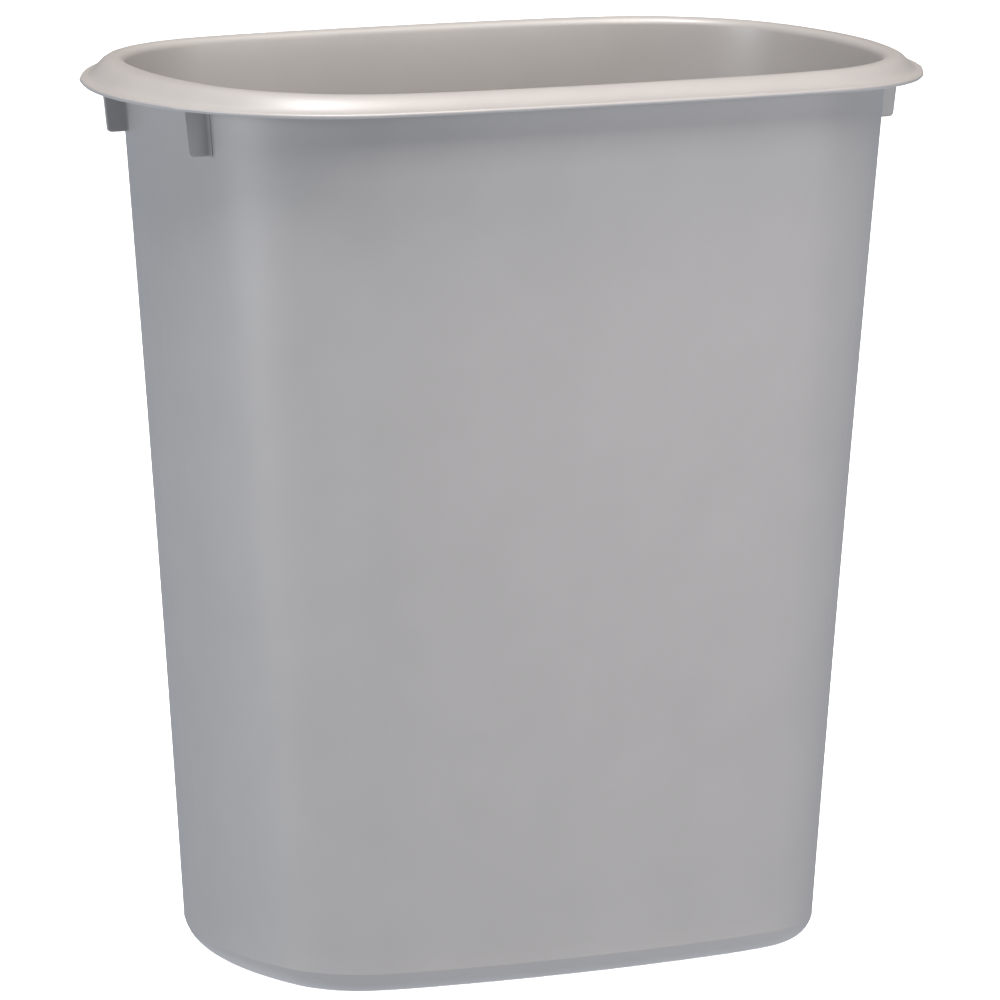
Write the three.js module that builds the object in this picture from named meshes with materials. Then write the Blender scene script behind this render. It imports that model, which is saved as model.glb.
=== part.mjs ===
// An oval-rectangular office wastebasket with an open top, moulded in one shot of grey
// polyethylene. Millimetres, +Z up, long side along X, front towards -Y, and the origin at
// the middle of the footprint, on the floor.
import * as THREE from "three";

// Sizes of the whole basket.
const HEIGHT = 381; // floor to the crest of the rim
const WALL_THICKNESS = 2;
const GAP = 0.3; // parting gap between neighbouring regions of the moulding

// Plan of the wall's outer face. Each end and each side is a shallow arc, and a round corner
// joins them. An angle is half of what the shallow arc turns through, in radians.
const BASE_PLAN = { halfLength: 133.8, halfWidth: 86, corner: 46.3, endAngle: 0.351, sideAngle: 0.138 };
const TOP_PLAN = { halfLength: 161.6, halfWidth: 106.5, corner: 75.3, endAngle: 0.232, sideAngle: 0.1 };
const WALL_BOW = 0.7; // how far the wall bows inward at half height

// Foot: at a faint crease the wall turns under, rests on a flat ring, then steps up to the
// floor panel.
const FOOT_SEAM_Z = 9.5;
const FOOT_LEAN = 0.14; // how far the foot already leans in at the crease, in radians
const FOOT_RADIUS = FOOT_SEAM_Z / (1 - Math.sin(FOOT_LEAN));
const FOOT_CENTRE_OFFSET = -FOOT_RADIUS * Math.cos(FOOT_LEAN);
const FOOT_FLAT_WIDTH = 9;
const FLOOR_RISE = 1.6; // underside of the floor panel above the floor
const FLOOR_THICKNESS = 2.2;
const FLOOR_EDGE_OFFSET = -24; // from the wall's outer face to the floor panel's edge

// Rim: a rounded crest, an S-shaped flange that falls outward, and a lip along its edge.
const RIM_SEAM_Z = 373;
const CREST_OFFSET = 1.5; // the crest line outside the wall's outer face
const CREST_INNER_RADIUS = 3.5; // rounds the crest into the inner face
const END_FLANGE = { width: 20.1, drop: 7.5 };
const SIDE_FLANGE = { width: 14.3, drop: 5.5 };
const END_WIDENING = 28; // the higher, the closer the widening keeps to the middle of each end
const FLANGE_LEVEL_FROM = 0.88; // share of the flange's width where it has levelled out
const LIP_SEAM = 0.78; // share of the flange's width where the lip begins
const LIP_THICKNESS = 2.1;

// Stacking lugs: a thin upright plate near each corner, on the two end walls.
const LUG_THICKNESS = 1.6;
const LUG_FROM_MIDDLE = 42; // from the basket's middle plane to the plate's
const LUG_BOTTOM_Z = 351;
const LUG_REACH_BOTTOM = 9.6;
const LUG_REACH_TOP = 10.4;
const LUG_CORNER_RADIUS = 1.6;

// Steps along one quarter of the plan.
const END_STEPS = 3;
const CORNER_STEPS = 8;
const SIDE_STEPS = 4;

function makePlastic() {
  return new THREE.MeshStandardMaterial({ color: "#b3b1ae", roughness: 0.55, metalness: 0 });
}

function mix(a, b, share) {
  return a + (b - a) * share;
}

// The plan at a height, with the radii of its arcs. The arcs meet at a common tangent, which
// fixes how much larger than the corner's radius the end and side radii are.
function planAt(z) {
  const share = z / HEIGHT;
  const bow = 4 * WALL_BOW * share * (1 - share);
  const halfLength = mix(BASE_PLAN.halfLength, TOP_PLAN.halfLength, share) - bow;
  const halfWidth = mix(BASE_PLAN.halfWidth, TOP_PLAN.halfWidth, share) - bow;
  const corner = mix(BASE_PLAN.corner, TOP_PLAN.corner, share);
  const endAngle = mix(BASE_PLAN.endAngle, TOP_PLAN.endAngle, share);
  const sideAngle = mix(BASE_PLAN.sideAngle, TOP_PLAN.sideAngle, share);
  const a = 1 - Math.cos(endAngle);
  const b = Math.sin(sideAngle);
  const c = Math.sin(endAngle);
  const d = 1 - Math.cos(sideAngle);
  const length = halfLength - corner;
  const width = halfWidth - corner;
  const determinant = a * d - b * c;
  const endExtra = (length * d - b * width) / determinant;
  const sideExtra = (a * width - c * length) / determinant;
  return {
    endAngle,
    sideAngle,
    end: { x: halfLength - corner - endExtra, y: 0, radius: corner + endExtra },
    corner: {
      x: halfLength - corner - endExtra + endExtra * Math.cos(endAngle),
      y: endExtra * Math.sin(endAngle),
      radius: corner,
    },
    side: { x: 0, y: halfWidth - corner - sideExtra, radius: corner + sideExtra },
  };
}

// Stations go once round the plan, counter-clockwise from the middle of the right end. Each
// names its arc, how far along it lies, and the quarter it is mirrored into.
function makeStations() {
  const quarter = [];
  for (let i = 0; i < END_STEPS; i += 1) {
    quarter.push({ arc: "end", share: i / END_STEPS });
  }
  for (let i = 0; i < CORNER_STEPS; i += 1) {
    quarter.push({ arc: "corner", share: i / CORNER_STEPS });
  }
  for (let i = 0; i < SIDE_STEPS; i += 1) {
    quarter.push({ arc: "side", share: i / SIDE_STEPS });
  }
  const middleOfSide = { arc: "side", share: 1 };
  const middleOfEnd = quarter[0];
  const backwards = quarter.slice(1).reverse();
  const place = (list, signX, signY) => list.map((station) => ({ ...station, signX, signY }));
  return [
    ...place(quarter, 1, 1),
    ...place([middleOfSide, ...backwards], -1, 1),
    ...place([middleOfEnd, ...quarter.slice(1)], -1, -1),
    ...place([middleOfSide, ...backwards], 1, -1),
  ];
}

const STATIONS = makeStations();

// The direction the wall faces at a station, as an angle from the long axis.
function facing(plan, station) {
  const cornerEnd = Math.PI / 2 - plan.sideAngle;
  if (station.arc === "end") {
    return plan.endAngle * station.share;
  }
  if (station.arc === "corner") {
    return mix(plan.endAngle, cornerEnd, station.share);
  }
  return mix(cornerEnd, Math.PI / 2, station.share);
}

// A point outside (or, with a negative offset, inside) the wall's outer face at a height.
function pointAt(station, offset, z) {
  const plan = planAt(z);
  const arc = plan[station.arc];
  const angle = facing(plan, station);
  const reach = arc.radius + offset;
  const x = arc.x + reach * Math.cos(angle);
  const y = arc.y + reach * Math.sin(angle);
  return new THREE.Vector3(station.signX * x, station.signY * y, z);
}

// How far the wall's outer face lies from the middle plane at a height and a distance along
// the end wall.
function endFaceX(y, z) {
  const plan = planAt(z);
  const onEnd = y <= plan.end.radius * Math.sin(plan.endAngle);
  const arc = onEnd ? plan.end : plan.corner;
  return arc.x + Math.sqrt(arc.radius ** 2 - (y - arc.y) ** 2);
}

function toGeometry(points, triangles) {
  const geometry = new THREE.BufferGeometry();
  const positions = points.flatMap((point) => [point.x, point.y, point.z]);
  geometry.setAttribute("position", new THREE.Float32BufferAttribute(positions, 3));
  geometry.setIndex(triangles);
  geometry.computeVertexNormals();
  return geometry;
}

// Triangles between two loops of points, given by the index of each loop's first point.
function stitch(lower, upper, count) {
  const triangles = [];
  for (let k = 0; k < count; k += 1) {
    const next = (k + 1) % count;
    triangles.push(lower + k, lower + next, upper + next);
    triangles.push(lower + k, upper + next, upper + k);
  }
  return triangles;
}

// A closed ring that follows the wall. The profile goes up the outside, in across the top,
// down the inside and out across the bottom, and profileAt gives it as [offset, z] pairs.
function makeRing(profileAt) {
  const count = STATIONS.length;
  const profiles = STATIONS.map((station) => profileAt(station));
  const loops = profiles[0].length;
  const points = [];
  for (let j = 0; j < loops; j += 1) {
    for (let k = 0; k < count; k += 1) {
      const [offset, z] = profiles[k][j];
      points.push(pointAt(STATIONS[k], offset, z));
    }
  }
  const triangles = [];
  for (let j = 0; j < loops; j += 1) {
    triangles.push(...stitch(j * count, ((j + 1) % loops) * count, count));
  }
  return toGeometry(points, triangles);
}

function arcPoints(centreOffset, centreZ, radius, fromAngle, toAngle, steps) {
  const points = [];
  for (let i = 0; i <= steps; i += 1) {
    const angle = mix(fromAngle, toAngle, i / steps);
    points.push([centreOffset + radius * Math.cos(angle), centreZ + radius * Math.sin(angle)]);
  }
  return points;
}

function makeWall() {
  const bottom = FOOT_SEAM_Z + GAP / 2;
  const top = RIM_SEAM_Z - GAP / 2;
  const heights = [0, 0.25, 0.5, 0.75, 1].map((share) => mix(bottom, top, share));
  const outside = heights.map((z) => [0, z]);
  const inside = heights.map((z) => [-WALL_THICKNESS, z]).reverse();
  return makeRing(() => [...outside, ...inside]);
}

function makeFootRing() {
  const top = FOOT_SEAM_Z - GAP / 2;
  const flatEnd = FOOT_CENTRE_OFFSET - FOOT_FLAT_WIDTH;
  const panelSide = FLOOR_EDGE_OFFSET + GAP / 2;
  const underside = [
    [panelSide, FLOOR_RISE],
    [flatEnd - 1.4, FLOOR_RISE],
    [flatEnd, 0],
  ];
  const innerRadius = FOOT_RADIUS - WALL_THICKNESS;
  const outerTop = -Math.asin((FOOT_RADIUS - top) / FOOT_RADIUS);
  const innerTop = -Math.asin((FOOT_RADIUS - top) / innerRadius);
  const outside = arcPoints(FOOT_CENTRE_OFFSET, FOOT_RADIUS, FOOT_RADIUS, -Math.PI / 2, outerTop, 6);
  const inside = arcPoints(FOOT_CENTRE_OFFSET, FOOT_RADIUS, innerRadius, innerTop, -Math.PI / 2, 6);
  const floorTop = FLOOR_RISE + FLOOR_THICKNESS;
  const step = [
    [flatEnd + 0.6, WALL_THICKNESS],
    [flatEnd - 0.8, floorTop],
    [panelSide, floorTop],
  ];
  return makeRing(() => [...underside, ...outside, ...inside, ...step]);
}

function makeFloorPanel() {
  const count = STATIONS.length;
  const offset = FLOOR_EDGE_OFFSET - GAP / 2;
  const bottom = FLOOR_RISE;
  const top = FLOOR_RISE + FLOOR_THICKNESS;
  const points = [bottom, top].flatMap((z) =>
    STATIONS.map((station) => pointAt(station, offset, FLOOR_RISE).setZ(z)),
  );
  const bottomMiddle = points.push(new THREE.Vector3(0, 0, bottom)) - 1;
  const topMiddle = points.push(new THREE.Vector3(0, 0, top)) - 1;
  const triangles = stitch(0, count, count);
  for (let k = 0; k < count; k += 1) {
    const next = (k + 1) % count;
    triangles.push(bottomMiddle, next, k);
    triangles.push(topMiddle, count + k, count + next);
  }
  return toGeometry(points, triangles);
}

// The flange where the wall faces at an angle to the long axis. It widens into a grip at the
// middle of each end, and falls a little further towards the ends.
function flangeFor(angle) {
  const endwards = Math.abs(Math.cos(angle));
  return {
    width: mix(SIDE_FLANGE.width, END_FLANGE.width, endwards ** END_WIDENING),
    drop: mix(SIDE_FLANGE.drop, END_FLANGE.drop, endwards),
  };
}

// A point on the flange at a share of its width from the crest, a given depth under its top
// face. The top face is half a cosine wave that levels out before the edge.
function flangePoint(flange, share, depth) {
  const phase = Math.min(share / FLANGE_LEVEL_FROM, 1) * Math.PI;
  const fall = (flange.drop * (1 - Math.cos(phase))) / 2;
  const slope = (flange.drop * Math.PI * Math.sin(phase)) / (2 * flange.width * FLANGE_LEVEL_FROM);
  const across = depth / Math.hypot(1, slope);
  return [CREST_OFFSET + flange.width * share - across * slope, HEIGHT - fall - across];
}

function rimProfile(station) {
  const flange = flangeFor(facing(planAt(HEIGHT), station));
  const seam = LIP_SEAM - GAP / 2 / flange.width;
  const bottom = RIM_SEAM_Z + GAP / 2;
  const collar = [
    [0, bottom],
    [0, HEIGHT - WALL_THICKNESS - 2],
  ];
  const underShares = [0.12, 0.26, 0.4, 0.54, 0.66, seam];
  const under = underShares.map((share) => flangePoint(flange, share, WALL_THICKNESS));
  const topShares = [seam, 0.66, 0.54, 0.42, 0.3, 0.18, 0.08, 0];
  const top = topShares.map((share) => flangePoint(flange, share, 0));
  under[under.length - 1][0] = top[0][0];
  const inner = [1, 2, 3, 4].map((i) => {
    const angle = (i / 4) * (Math.PI / 2);
    const reach = CREST_OFFSET + WALL_THICKNESS;
    return [
      CREST_OFFSET - reach * Math.sin(angle),
      HEIGHT - CREST_INNER_RADIUS * (1 - Math.cos(angle)),
    ];
  });
  return [...collar, ...under, ...top, ...inner, [-WALL_THICKNESS, bottom]];
}

function lipProfile(station) {
  const flange = flangeFor(facing(planAt(HEIGHT), station));
  const seam = LIP_SEAM + GAP / 2 / flange.width;
  const radius = LIP_THICKNESS / 2;
  const edge = CREST_OFFSET + flange.width;
  const start = flangePoint(flange, seam, 0);
  const level = flangePoint(flange, FLANGE_LEVEL_FROM, 0);
  const centreZ = HEIGHT - flange.drop - radius;
  const nose = arcPoints(edge - radius, centreZ, radius, -Math.PI / 2, Math.PI / 2, 6);
  return [[start[0], start[1] - LIP_THICKNESS], [level[0], level[1] - LIP_THICKNESS], ...nose, level, start];
}

// One lug, an upright plate whose inner edge follows the wall and whose top edge follows the
// underside of the flange.
function makeLug(signX, signY) {
  const flange = flangeFor(TOP_PLAN.endAngle);
  const corner = arcPoints(
    LUG_REACH_BOTTOM - LUG_CORNER_RADIUS,
    LUG_BOTTOM_Z + LUG_CORNER_RADIUS,
    LUG_CORNER_RADIUS,
    -Math.PI / 2,
    0,
    4,
  );
  const topEdge = [0.68, 0.54, 0.4, 0.26, 0.14]
    .map((share) => flangePoint(flange, share, WALL_THICKNESS + GAP))
    .filter(([reach]) => reach < LUG_REACH_TOP - 0.5);
  const topCorner = [LUG_REACH_TOP, flangePoint(flange, 0.7, WALL_THICKNESS + GAP)[1]];
  const wallSide = [
    [GAP, HEIGHT - WALL_THICKNESS - 3],
    [GAP, RIM_SEAM_Z],
    [GAP, LUG_BOTTOM_Z],
  ];
  const outline = [...corner, topCorner, ...topEdge, ...wallSide];
  const faces = [LUG_FROM_MIDDLE - LUG_THICKNESS / 2, LUG_FROM_MIDDLE + LUG_THICKNESS / 2];
  const points = faces.flatMap((y) =>
    outline.map(([reach, z]) => new THREE.Vector3(signX * (endFaceX(y, z) + reach), signY * y, z)),
  );
  const count = outline.length;
  const flat = outline.map(([reach, z]) => new THREE.Vector2(reach, z));
  const cap = THREE.ShapeUtils.triangulateShape(flat, []);
  const triangles = [];
  for (const [a, b, c] of cap) {
    triangles.push(a, b, c);
    triangles.push(count + a, count + c, count + b);
  }
  for (let k = 0; k < count; k += 1) {
    const next = (k + 1) % count;
    triangles.push(k, count + next, next);
    triangles.push(k, count + k, count + next);
  }
  const mirrored = signX * signY < 0;
  return toGeometry(points, mirrored ? triangles.reverse() : triangles);
}

function addPiece(group, name, geometry) {
  const piece = new THREE.Mesh(geometry, makePlastic());
  piece.name = name;
  group.add(piece);
}

const wastebasket = new THREE.Group();
addPiece(wastebasket, "tapered_wall", makeWall());
addPiece(wastebasket, "foot_ring", makeFootRing());
addPiece(wastebasket, "floor_panel", makeFloorPanel());
addPiece(wastebasket, "rolled_rim", makeRing(rimProfile));
addPiece(wastebasket, "rim_lip", makeRing(lipProfile));
addPiece(wastebasket, "stacking_lug_left_front", makeLug(-1, -1));
addPiece(wastebasket, "stacking_lug_left_back", makeLug(-1, 1));
addPiece(wastebasket, "stacking_lug_right_front", makeLug(1, -1));
addPiece(wastebasket, "stacking_lug_right_back", makeLug(1, 1));

export default wastebasket;
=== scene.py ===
"""A grey polyethylene office wastebasket on a pale studio floor, in metres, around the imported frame."""

import math

import bmesh
import bpy
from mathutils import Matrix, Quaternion, Vector


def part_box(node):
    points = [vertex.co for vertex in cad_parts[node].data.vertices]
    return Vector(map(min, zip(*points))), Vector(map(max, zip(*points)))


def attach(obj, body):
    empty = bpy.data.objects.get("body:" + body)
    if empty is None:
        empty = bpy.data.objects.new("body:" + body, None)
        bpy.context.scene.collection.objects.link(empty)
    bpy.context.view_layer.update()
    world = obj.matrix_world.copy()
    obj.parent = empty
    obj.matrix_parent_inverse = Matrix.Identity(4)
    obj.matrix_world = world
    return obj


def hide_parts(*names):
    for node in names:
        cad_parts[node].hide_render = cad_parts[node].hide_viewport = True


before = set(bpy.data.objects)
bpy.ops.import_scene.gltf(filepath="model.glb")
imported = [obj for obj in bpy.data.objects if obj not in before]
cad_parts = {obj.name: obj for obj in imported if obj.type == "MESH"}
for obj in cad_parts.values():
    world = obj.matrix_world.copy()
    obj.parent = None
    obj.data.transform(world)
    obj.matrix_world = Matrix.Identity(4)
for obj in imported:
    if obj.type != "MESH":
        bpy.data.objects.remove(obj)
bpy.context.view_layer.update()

MM = 0.001

# Heights, read from the frame.
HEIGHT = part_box("rolled_rim")[1].z
FOOT_SEAM = (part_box("foot_ring")[1].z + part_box("tapered_wall")[0].z) / 2
RIM_SEAM = (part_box("tapered_wall")[1].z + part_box("rolled_rim")[0].z) / 2
FLOOR_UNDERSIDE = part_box("floor_panel")[0].z
FLOOR_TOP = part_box("floor_panel")[1].z
LUG_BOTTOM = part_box("stacking_lug_left_front")[0].z
LUG_MIDDLE = (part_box("stacking_lug_left_back")[0].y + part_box("stacking_lug_left_back")[1].y) / 2

# Plan of the wall's outer face at the floor and at the crest: half length, half width,
# corner radius, and half of what each end arc and each side arc turns through, in radians.
# A shoulder arc eases each corner into the long side.
BASE_PLAN = (133.7 * MM, 85.8 * MM, 44 * MM, 0.364, 0.106)
TOP_PLAN = (161.7 * MM, 106.3 * MM, 74.1 * MM, 0.246, 0.051)
SHOULDER_ANGLE = 0.12
SHOULDER_RATIO = 4  # the shoulder's radius over the corner's
WALL_BOW = 0.7 * MM  # how far the wall dips in at mid height
WALL = 2.0 * MM

# Foot and floor. The foot already leans in by FOOT_LEAN, in radians, at the crease.
FOOT_LEAN = 0.14
FOOT_RADIUS = FOOT_SEAM / (1 - math.sin(FOOT_LEAN))
FOOT_CENTRE = -FOOT_RADIUS * math.cos(FOOT_LEAN)
FOOT_FLAT_WIDTH = 9 * MM
CREASE_BEAD = 0.06 * MM
FLOOR_EDGE = -24 * MM
FLOOR_CENTRE_RADIUS = 75 * MM  # the rings of the floor's mesh become round towards its middle

# Rim. Each flange is its width and its drop, and END_WIDENING is the power of the cosine that
# narrows the end flange to the side flange.
CREST_OFFSET = 1.5 * MM
CREST_INNER_DROP = 3.5 * MM
END_FLANGE = (20.1 * MM, 7.5 * MM)
SIDE_FLANGE = (14.3 * MM, 5.5 * MM)
END_WIDENING = 28
END_SWELL = 1.45  # above 1, the flange stays full for longer before it falls
FLANGE_LEVEL_FROM = 0.88
LIP_SEAM = 0.78
LIP_THICKNESS = 2.1 * MM

# Lugs. LUG_REACH is at the bottom, and it grows by LUG_REACH_GROWTH for each unit of height.
LUG_HEIGHT = 22 * MM
LUG_THICKNESS = 1.6 * MM
LUG_REACH = 9.6 * MM
LUG_REACH_GROWTH = 0.04
LUG_CORNER = 1.6 * MM
LUG_EDGE_ROUND = 0.5 * MM
LUG_ROOT_FILLET = 1.2 * MM
LUG_ROOT_DEPTH = 0.6 * MM

# Studio.
LIGHT_DISTANCE = 3
CAMERA_DISTANCE = 8.568 * HEIGHT

# Steps along the end, corner, shoulder and side arcs of one quarter of the plan.
ARC_STEPS = (12, 28, 8, 14)


def mix(a, b, share):
    return a + (b - a) * share


def smoothstep(low, high, value):
    share = min(max((value - low) / (high - low), 0), 1)
    return share * share * (3 - 2 * share)


def direction(azimuth, elevation):
    """A unit vector. The azimuth is 0 in front of the basket and grows to its right, in degrees."""
    azimuth, elevation = math.radians(azimuth), math.radians(elevation)
    return Vector((
        math.sin(azimuth) * math.cos(elevation),
        -math.cos(azimuth) * math.cos(elevation),
        math.sin(elevation),
    ))


# ---------------------------------------------------------------- plan of the wall


def plan_at(z):
    """The wall's plan at a height: half length, the angles between its arcs, and their radii."""
    share = z / HEIGHT
    bow = 4 * WALL_BOW * share * (1 - share)
    length, width, corner, end_angle, side_angle = (mix(a, b, share) for a, b in zip(BASE_PLAN, TOP_PLAN))
    length -= bow
    width -= bow
    shoulder = SHOULDER_RATIO * corner
    quarter = math.pi / 2
    turns = (0, end_angle, quarter - side_angle - SHOULDER_ANGLE, quarter - side_angle, quarter)
    cosine = [math.cos(turn) for turn in turns]
    sine = [math.sin(turn) for turn in turns]
    # The end and side arcs take up the length and width that the other two leave.
    length_left = length - corner * (cosine[1] - cosine[2]) - shoulder * (cosine[2] - cosine[3])
    width_left = width - corner * (sine[2] - sine[1]) - shoulder * (sine[3] - sine[2])
    a, b = 1 - cosine[1], cosine[3]
    c, d = sine[1], 1 - sine[3]
    determinant = a * d - b * c
    end = (length_left * d - b * width_left) / determinant
    side = (a * width_left - c * length_left) / determinant
    return length, turns, (end, corner, shoulder, side)


def make_stations():
    """Stations once round the plan, counter-clockwise: arc, share along it, and the signs of x and y."""
    quarter = [(arc, i / steps) for arc, steps in enumerate(ARC_STEPS) for i in range(steps)]
    back = [(3, 1)] + quarter[:0:-1]
    return [
        (arc, share, x, y)
        for x, y, part in ((1, 1, quarter), (-1, 1, back), (-1, -1, quarter), (1, -1, back))
        for arc, share in part
    ]


STATIONS = make_stations()


def facing(plan, station):
    """The angle between the long axis and the way the wall faces at a station."""
    turns = plan[1]
    return mix(turns[station[0]], turns[station[0] + 1], station[1])


def on_plan(plan, angle):
    """The point of the plan, in its first quarter, where the wall faces at an angle to the long axis."""
    length, turns, radii = plan
    x, y = length, 0
    for start, end, radius in zip(turns, turns[1:], radii):
        reached = min(max(angle, start), end)
        x += radius * (math.cos(reached) - math.cos(start))
        y += radius * (math.sin(reached) - math.sin(start))
    return x, y


def point_at(station, offset, z):
    """A point at a height, outside the wall's outer face by offset."""
    plan = plan_at(z)
    angle = facing(plan, station)
    x, y = on_plan(plan, angle)
    x += offset * math.cos(angle)
    y += offset * math.sin(angle)
    return Vector((station[2] * x, station[3] * y, z))


def end_face_x(y, z):
    """How far the outer face of an end wall lies from the middle plane, at a distance y along it."""
    plan = plan_at(z)
    low, high = 0, math.pi / 4
    for _ in range(30):
        angle = (low + high) / 2
        if on_plan(plan, angle)[1] < y:
            low = angle
        else:
            high = angle
    return on_plan(plan, low)[0]


# ---------------------------------------------------------------- mesh building


def add_object(name, mesh_data, material, node):
    """Makes a piece from a bmesh: it replaces its CAD node and rides on the basket's body."""
    bmesh.ops.recalc_face_normals(mesh_data, faces=mesh_data.faces)
    mesh = bpy.data.meshes.new(name)
    mesh_data.to_mesh(mesh)
    mesh_data.free()
    piece = bpy.data.objects.new(name, mesh)
    bpy.context.scene.collection.objects.link(piece)
    mesh.materials.append(material)
    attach(piece, "root")
    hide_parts(node)
    return piece


def bridge(mesh_data, lower, upper):
    """Quads between two closed loops of vertices."""
    for k in range(len(lower)):
        following = (k + 1) % len(lower)
        face = mesh_data.faces.new((lower[k], lower[following], upper[following], upper[k]))
        face.smooth = True


def ring_mesh(profile_at):
    """A closed ring round the plan. profile_at gives each station's section as (offset, z, sharp)."""
    mesh_data = bmesh.new()
    profiles = [profile_at(station) for station in STATIONS]
    loops = []
    for j in range(len(profiles[0])):
        loops.append([
            mesh_data.verts.new(point_at(station, profile[j][0], profile[j][1]))
            for station, profile in zip(STATIONS, profiles)
        ])
    for j, loop in enumerate(loops):
        bridge(mesh_data, loop, loops[(j + 1) % len(loops)])
    for j, loop in enumerate(loops):
        if profiles[0][j][2]:
            for k, vertex in enumerate(loop):
                mesh_data.edges.get((vertex, loop[(k + 1) % len(loop)])).smooth = False
    return mesh_data


def arc(centre_offset, centre_z, radius, start, end, steps):
    """Points of an arc in the section, none of them sharp."""
    angles = [math.radians(mix(start, end, i / steps)) for i in range(steps + 1)]
    return [(centre_offset + radius * math.cos(a), centre_z + radius * math.sin(a), False) for a in angles]


# ---------------------------------------------------------------- sections


def wall_profile(_station):
    """The wall, with a fine bead along the crease at its foot."""
    heights = [FOOT_SEAM] + [mix(FOOT_SEAM + 1.2 * MM, RIM_SEAM, i / 40) for i in range(41)]
    bead = [(CREASE_BEAD, FOOT_SEAM, True), (0.8 * CREASE_BEAD, FOOT_SEAM + 0.4 * MM, False)]
    outside = bead + [(0, z, z == RIM_SEAM) for z in heights[1:]]
    inside = [(-WALL, z, z in (FOOT_SEAM, RIM_SEAM)) for z in reversed(heights)]
    return outside + inside


def foot_profile(_station):
    """The flat ring that the basket stands on, the turn up to the wall, and the step up to the floor."""
    flat_end = FOOT_CENTRE - FOOT_FLAT_WIDTH
    inner_radius = FOOT_RADIUS - WALL
    lean = math.degrees(FOOT_LEAN)
    return (
        [(FLOOR_EDGE, FLOOR_UNDERSIDE, True), (flat_end - 1.8 * MM, FLOOR_UNDERSIDE, False)]
        + [(flat_end - 1.3 * MM, FLOOR_UNDERSIDE - 0.2 * MM, False), (flat_end - 0.5 * MM, 0.2 * MM, False)]
        + [(flat_end, 0, False)]
        + arc(FOOT_CENTRE, FOOT_RADIUS, FOOT_RADIUS, -90, -lean - 1.5, 16)
        + [(CREASE_BEAD, FOOT_SEAM, True), (-WALL, FOOT_SEAM, True)]
        + arc(FOOT_CENTRE, FOOT_RADIUS, inner_radius, -lean - 3, -90, 14)
        + [(flat_end + 0.9 * MM, WALL, False), (flat_end + 0.3 * MM, WALL + 0.3 * MM, False)]
        + [(flat_end - 0.9 * MM, FLOOR_TOP - 0.2 * MM, False), (flat_end - 1.6 * MM, FLOOR_TOP, False)]
        + [(FLOOR_EDGE, FLOOR_TOP, True)]
    )


def flange_at(angle):
    """Width, drop and swell of the flange where the wall faces at an angle to the long axis."""
    endwards = abs(math.cos(angle))
    width = mix(SIDE_FLANGE[0], END_FLANGE[0], endwards**END_WIDENING)
    return width, mix(SIDE_FLANGE[1], END_FLANGE[1], endwards), mix(1, END_SWELL, endwards)


def flange_point(flange, share, depth):
    """Section point at a share of the flange's width, a depth under its top face."""
    width, drop, swell = flange
    progress = min(share / FLANGE_LEVEL_FROM, 1)
    phase = math.pi * progress**swell
    fall = drop * (1 - math.cos(phase)) / 2
    steepness = swell * progress ** (swell - 1) * math.sin(phase)
    slope = drop * math.pi * steepness / (2 * width * FLANGE_LEVEL_FROM)
    across = depth / math.hypot(1, slope)
    return CREST_OFFSET + width * share - across * slope, HEIGHT - fall - across


def rim_profile(station):
    """The flange as far as the lip, the rounded crest, and the fillet under the flange."""
    flange = flange_at(facing(plan_at(HEIGHT), station))
    seam_offset, seam_top = flange_point(flange, LIP_SEAM, 0)
    under_seam = flange_point(flange, LIP_SEAM, WALL)[1]
    under = [(*flange_point(flange, mix(0.1, LIP_SEAM, i / 16), WALL), False) for i in range(16)]
    under_start = under[0]
    fillet = [
        (0, under_start[1] - 2.6 * MM, False),
        (0.12 * MM, under_start[1] - 1.3 * MM, False),
        (0.5 * MM, under_start[1] - 0.5 * MM, False),
    ]
    top = [(*flange_point(flange, mix(LIP_SEAM, 0, i / 30), 0), False) for i in range(1, 31)]
    reach = CREST_OFFSET + WALL
    inner = []
    for i in range(1, 13):
        angle = i / 12 * math.pi / 2
        inner.append((
            CREST_OFFSET - reach * math.sin(angle),
            HEIGHT - CREST_INNER_DROP * (1 - math.cos(angle)),
            False,
        ))
    return (
        [(0, RIM_SEAM, True)]
        + fillet
        + under
        + [(seam_offset, under_seam, True), (seam_offset, seam_top, True)]
        + top
        + inner
        + [(-WALL, RIM_SEAM, True)]
    )


def lip_profile(station):
    """The level outer strip of the flange, with a round nose."""
    flange = flange_at(facing(plan_at(HEIGHT), station))
    seam_offset, seam_top = flange_point(flange, LIP_SEAM, 0)
    under_seam = flange_point(flange, LIP_SEAM, WALL)[1]
    radius = LIP_THICKNESS / 2
    edge = CREST_OFFSET + flange[0]
    nose_z = HEIGHT - flange[1] - radius
    level = flange_point(flange, FLANGE_LEVEL_FROM, 0)
    curve = [(*flange_point(flange, mix(FLANGE_LEVEL_FROM, LIP_SEAM, i / 5), 0), False) for i in range(5)]
    under = [
        (mix(seam_offset, level[0], i / 4), mix(under_seam, level[1] - LIP_THICKNESS, i / 4), False)
        for i in range(1, 5)
    ]
    return (
        [(seam_offset, under_seam, True)]
        + under
        + arc(edge - radius, nose_z, radius, -90, 90, 14)
        + curve
        + [(seam_offset, seam_top, True)]
    )


# ---------------------------------------------------------------- pieces


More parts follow.
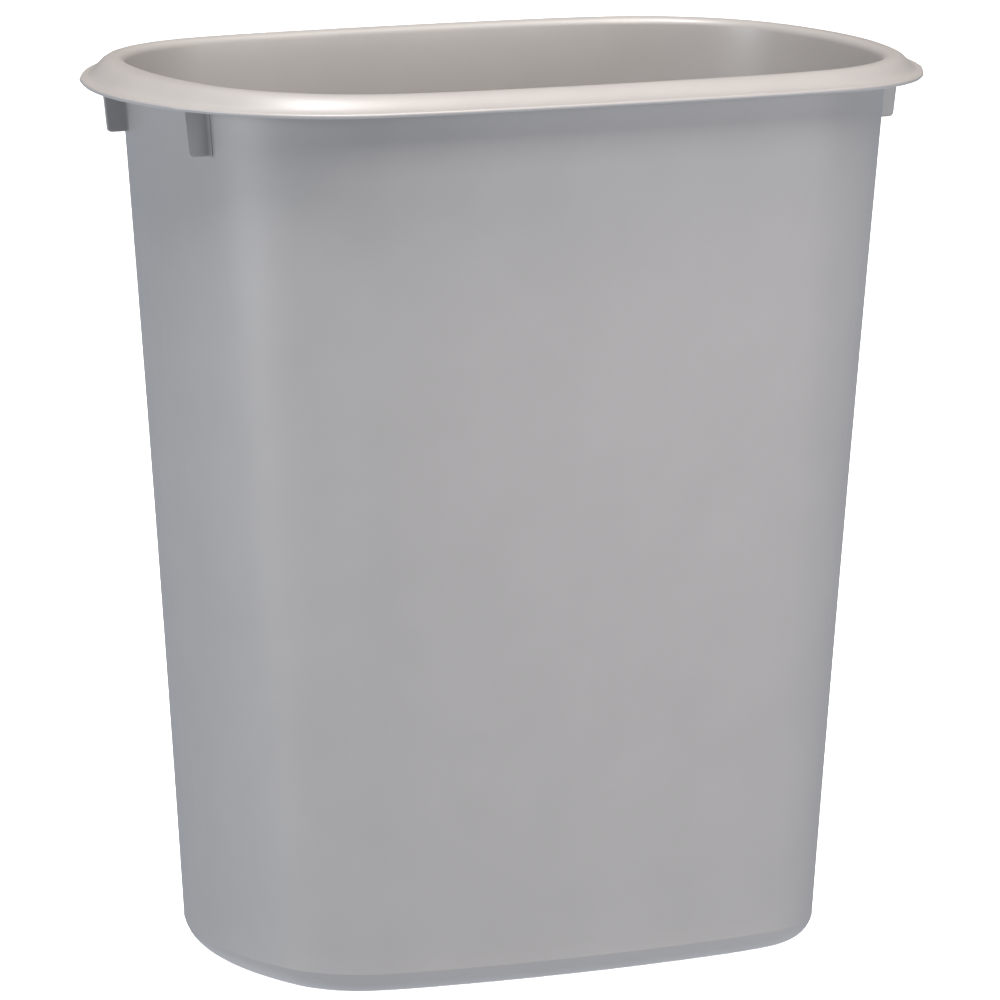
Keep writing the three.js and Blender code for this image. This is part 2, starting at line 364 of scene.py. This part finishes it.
def make_floor_panel(material):
    """The flat bottom, with a small gate mark in the middle of its underside."""
    mesh_data = bmesh.new()
    count = len(STATIONS)
    shares = [1, 0.9, 0.75, 0.6, 0.45, 0.3, 0.2, 0.12, 0.08, 0.06, 0.05, 0.044, 0.04, 0.03, 0.015]

    def loop(share, z):
        verts = []
        for station in STATIONS:
            edge = point_at(station, FLOOR_EDGE, FLOOR_UNDERSIDE)
            angle = math.atan2(edge.y, edge.x)
            radius = mix(FLOOR_CENTRE_RADIUS, edge.length, smoothstep(0.1, 0.6, share))
            reach = share * radius
            verts.append(mesh_data.verts.new((reach * math.cos(angle), reach * math.sin(angle), z)))
        return verts

    gate_drops = {0.05: 0.15 * MM, 0.044: 0.45 * MM, 0.04: 0.6 * MM, 0.03: 0.6 * MM, 0.015: 0.6 * MM}
    bottoms = [loop(share, FLOOR_UNDERSIDE - gate_drops.get(share, 0)) for share in shares]
    tops = [loop(share, FLOOR_TOP) for share in shares]
    for inner, outer in zip(bottoms[1:], bottoms):
        bridge(mesh_data, inner, outer)
    for inner, outer in zip(tops[1:], tops):
        bridge(mesh_data, inner, outer)
    bridge(mesh_data, bottoms[0], tops[0])
    for loops in (bottoms, tops):
        mesh_data.faces.new(loops[-1])
        for k, vertex in enumerate(loops[0]):
            mesh_data.edges.get((vertex, loops[0][(k + 1) % count])).smooth = False
    return add_object("floor_panel_moulding", mesh_data, material, "floor_panel")


def lug_section(reach, inset):
    """Plan of a lug as (reach, y) points: a flared root in the wall, flat faces and a round nose."""
    half_thickness = LUG_THICKNESS / 2 - inset
    points = []
    for i in range(6):
        angle = i / 5 * math.pi / 2
        x = LUG_ROOT_FILLET * (1 - math.cos(angle))
        y = half_thickness + LUG_ROOT_FILLET * (1 - math.sin(angle))
        points.append((x, y))
    points.insert(0, (-LUG_ROOT_DEPTH, points[0][1]))
    nose_start = reach - LUG_THICKNESS / 2
    points.append(((LUG_ROOT_FILLET + nose_start) / 2, half_thickness))
    for i in range(5):
        angle = math.pi / 2 * (1 - i / 4)
        points.append((nose_start + half_thickness * math.cos(angle), half_thickness * math.sin(angle)))
    return points + [(x, -y) for x, y in reversed(points[:-1])]


def make_lug(name, sign_x, sign_y, material):
    """One stacking lug, a thin plate with rounded free edges that runs up into the flange."""
    mesh_data = bmesh.new()
    flange = flange_at(TOP_PLAN[3])
    shares = [0, 0.01, 0.025, 0.045, 0.07, 0.1, 0.25, 0.4, 0.55, 0.7, 0.85, 1]
    loops = []
    for share in shares:
        level = share * LUG_HEIGHT
        rise = min(level, LUG_CORNER)
        corner_cut = LUG_CORNER - math.sqrt(LUG_CORNER**2 - (LUG_CORNER - rise) ** 2)
        low = min(level, LUG_EDGE_ROUND)
        inset = LUG_EDGE_ROUND - math.sqrt(LUG_EDGE_ROUND**2 - (LUG_EDGE_ROUND - low) ** 2)
        reach_here = LUG_REACH - corner_cut + LUG_REACH_GROWTH * level
        loop = []
        for reach, y in lug_section(reach_here, inset):
            ceiling = flange_point(flange, max(reach - CREST_OFFSET, 0) / flange[0], WALL * 0.5)[1]
            z = mix(LUG_BOTTOM, ceiling, share)
            x = end_face_x(LUG_MIDDLE, z) + reach
            loop.append(mesh_data.verts.new((sign_x * x, sign_y * (LUG_MIDDLE + y), z)))
        loops.append(loop)
    for lower, upper in zip(loops, loops[1:]):
        bridge(mesh_data, lower, upper)
    for loop in (loops[0], loops[-1]):
        mesh_data.faces.new(loop)
    return add_object(f"{name}_moulding", mesh_data, material, name)


# ---------------------------------------------------------------- materials


def new_material(name):
    """A material with one principled shader."""
    material = bpy.data.materials.new(name)
    material.use_nodes = True
    nodes = material.node_tree.nodes
    nodes.clear()
    shader = nodes.new("ShaderNodeBsdfPrincipled")
    output = nodes.new("ShaderNodeOutputMaterial")
    material.node_tree.links.new(shader.outputs["BSDF"], output.inputs["Surface"])
    return material, shader


def make_plastic():
    """Matte grey polyethylene: faint mottle, mould grain, upright draw marks, and scuffs at foot and lip."""
    material, shader = new_material("moulded_grey_polyethylene")
    nodes, links = material.node_tree.nodes, material.node_tree.links
    shader.inputs["IOR"].default_value = 1.8
    place = nodes.new("ShaderNodeTexCoord")

    def noise_texture(scale, detail, stretch=(1, 1, 1)):
        mapping = nodes.new("ShaderNodeMapping")
        mapping.inputs["Scale"].default_value = stretch
        texture = nodes.new("ShaderNodeTexNoise")
        texture.inputs["Scale"].default_value = scale
        texture.inputs["Detail"].default_value = detail
        links.new(place.outputs["Object"], mapping.inputs["Vector"])
        links.new(mapping.outputs["Vector"], texture.inputs["Vector"])
        return texture.outputs["Fac"]

    def remap(value, low, high, to_low, to_high):
        node = nodes.new("ShaderNodeMapRange")
        for socket, number in zip(("From Min", "From Max", "To Min", "To Max"), (low, high, to_low, to_high)):
            node.inputs[socket].default_value = number
        links.new(value, node.inputs["Value"])
        return node.outputs["Result"]

    def combine(operation, first, second):
        node = nodes.new("ShaderNodeMath")
        node.operation = operation
        links.new(first, node.inputs[0])
        links.new(second, node.inputs[1])
        return node.outputs["Value"]

    def bump(height, strength, distance, normal=None):
        node = nodes.new("ShaderNodeBump")
        node.inputs["Strength"].default_value = strength
        node.inputs["Distance"].default_value = distance
        links.new(height, node.inputs["Height"])
        if normal:
            links.new(normal, node.inputs["Normal"])
        return node.outputs["Normal"]

    # Worn places: the bottom edge, which is dragged over floors, and the lip, which is handled.
    parts = nodes.new("ShaderNodeSeparateXYZ")
    links.new(place.outputs["Object"], parts.inputs["Vector"])
    level = parts.outputs["Z"]
    foot = remap(level, 4 * MM, 30 * MM, 1, 0)
    rim = remap(level, HEIGHT - 12 * MM, HEIGHT - 6 * MM, 0, 1)
    streaks = remap(noise_texture(60, 6, (1, 1, 14)), 0.58, 0.7, 0, 1)
    scuffs = combine("MULTIPLY", foot, streaks)

    colour = nodes.new("ShaderNodeValToRGB")
    colour.color_ramp.elements[0].color = (0.363, 0.352, 0.342, 1)
    colour.color_ramp.elements[1].color = (0.381, 0.37, 0.36, 1)
    mottle = remap(noise_texture(35, 6), 0.3, 0.7, 0.1, 0.9)
    links.new(combine("ADD", mottle, remap(scuffs, 0, 1, 0, 0.5)), colour.inputs["Fac"])
    links.new(colour.outputs["Color"], shader.inputs["Base Color"])

    draw_marks = noise_texture(300, 2, (1, 1, 0.02))
    gloss = remap(combine("ADD", noise_texture(60, 3), draw_marks), 0.6, 1.4, 0.41, 0.49)
    worn = combine("SUBTRACT", remap(scuffs, 0, 1, 0, 0.08), remap(rim, 0, 1, 0, 0.03))
    links.new(combine("ADD", gloss, worn), shader.inputs["Roughness"])

    warp = bump(noise_texture(9, 1), 0.25, 0.0012)
    draws = bump(draw_marks, 0.05, 0.00005, warp)
    grain = bump(noise_texture(2600, 2), 0.12, 0.0001, draws)
    links.new(grain, shader.inputs["Normal"])
    return material


def make_floor_material():
    material, shader = new_material("studio_floor")
    shader.inputs["Base Color"].default_value = (0.9, 0.9, 0.9, 1)
    shader.inputs["Roughness"].default_value = 0.9
    return material


# ---------------------------------------------------------------- stage, light and camera


def make_floor():
    """A pale floor that doesn't light, shade or show in the basket. The surround stands in for its light."""
    mesh_data = bmesh.new()
    bmesh.ops.create_grid(mesh_data, x_segments=8, y_segments=8, size=12)
    mesh = bpy.data.meshes.new("studio_floor")
    mesh_data.to_mesh(mesh)
    mesh_data.free()
    floor = bpy.data.objects.new("studio_floor", mesh)
    bpy.context.scene.collection.objects.link(floor)
    mesh.materials.append(make_floor_material())
    floor.visible_diffuse = False
    floor.visible_glossy = False
    floor.visible_shadow = False
    return floor


def make_world():
    """A dark surround above the horizon, and below it the cool light that a pale floor gives back."""
    world = bpy.data.worlds.new("studio")
    world.use_nodes = True
    nodes, links = world.node_tree.nodes, world.node_tree.links
    place = nodes.new("ShaderNodeTexCoord")
    parts = nodes.new("ShaderNodeSeparateXYZ")
    height = nodes.new("ShaderNodeMapRange")
    height.inputs["From Min"].default_value = -1
    height.inputs["From Max"].default_value = 1
    colour = nodes.new("ShaderNodeValToRGB")
    # Light straight up from the floor, dimmer light from the floor far away, then the dark room.
    stops = colour.color_ramp.elements
    stops[0].position = 0.2
    stops[0].color = (0.88, 0.92, 1, 1)
    stops[1].position = 0.53
    stops[1].color = (0.06, 0.04, 0.03, 1)
    for position in (0.32, 0.47):
        stops.new(position).color = (0.32, 0.39, 0.48, 1)
    links.new(place.outputs["Generated"], parts.inputs["Vector"])
    links.new(parts.outputs["Z"], height.inputs["Value"])
    links.new(height.outputs["Result"], colour.inputs["Fac"])
    links.new(colour.outputs["Color"], nodes["Background"].inputs["Color"])
    bpy.context.scene.world = world
    bpy.context.scene.view_settings.view_transform = "Standard"


def add_light(name, kind, towards, power, colour):
    """A light that shines on the middle of the basket from the direction towards it."""
    light = bpy.data.lights.new(name, kind)
    light.energy = power
    light.color = colour
    holder = bpy.data.objects.new(name, light)
    bpy.context.scene.collection.objects.link(holder)
    holder.location = Vector((0, 0, HEIGHT / 2)) + towards * LIGHT_DISTANCE
    holder.rotation_mode = "QUATERNION"
    holder.rotation_quaternion = (-towards).to_track_quat("-Z", "Y")
    holder.visible_camera = False
    return holder


def make_lights(floor):
    """Softboxes round the basket, and a wash for the floor alone, where the basket casts no shadow."""
    # Name, azimuth and elevation, width and height, power and colour.
    softboxes = (
        ("right_top", (30, 70), (1, 1), 34, (1, 0.92, 0.84)),
        ("left_top", (-60, 70), (1, 1), 81, (1, 0.97, 0.97)),
        ("front_high", (0, 48), (1.6, 1.1), 41, (1, 0.98, 0.98)),
        ("right_front", (35, 7), (1.6, 0.75), 30, (0.99, 0.95, 0.96)),
        ("left", (-97, 6), (1.1, 1), 36, (0.96, 0.97, 1)),
    )
    for name, angles, size, power, colour in softboxes:
        softbox = add_light(f"{name}_softbox", "AREA", direction(*angles), power, colour)
        softbox.data.shape = "RECTANGLE"
        softbox.data.size, softbox.data.size_y = size
    wash = add_light("floor_wash", "SUN", direction(0, 90), 6, (1, 1, 1))
    wash.data.angle = math.radians(60)
    washed = bpy.data.collections.new("washed")
    washed.objects.link(floor)
    wash.light_linking.receiver_collection = washed
    wash.light_linking.blocker_collection = washed


def make_camera():
    """A long lens, front left of the basket and a little above it."""
    back = direction(-26.2, 10.39)
    data = bpy.data.cameras.new("camera")
    data.sensor_width = 36
    data.lens = 276.05
    data.clip_end = 50
    camera = bpy.data.objects.new("camera", data)
    bpy.context.scene.collection.objects.link(camera)
    turn = Quaternion(back, math.radians(0.41)) @ (-back).to_track_quat("-Z", "Y")
    aim = Vector((0, 0, HEIGHT / 2)) + turn @ Vector((-0.6 * MM, -0.7 * MM, 0))
    camera.location = aim + back * CAMERA_DISTANCE
    camera.rotation_mode = "QUATERNION"
    camera.rotation_quaternion = turn
    bpy.context.scene.camera = camera


make_camera()
make_world()
make_lights(make_floor())
plastic = make_plastic()
add_object("tapered_wall_moulding", ring_mesh(wall_profile), plastic, "tapered_wall")
add_object("foot_ring_moulding", ring_mesh(foot_profile), plastic, "foot_ring")
make_floor_panel(plastic)
add_object("rolled_rim_moulding", ring_mesh(rim_profile), plastic, "rolled_rim")
add_object("rim_lip_moulding", ring_mesh(lip_profile), plastic, "rim_lip")
for side, sign_x in (("left", -1), ("right", 1)):
    for face, sign_y in (("front", -1), ("back", 1)):
        make_lug(f"stacking_lug_{side}_{face}", sign_x, sign_y, plastic)
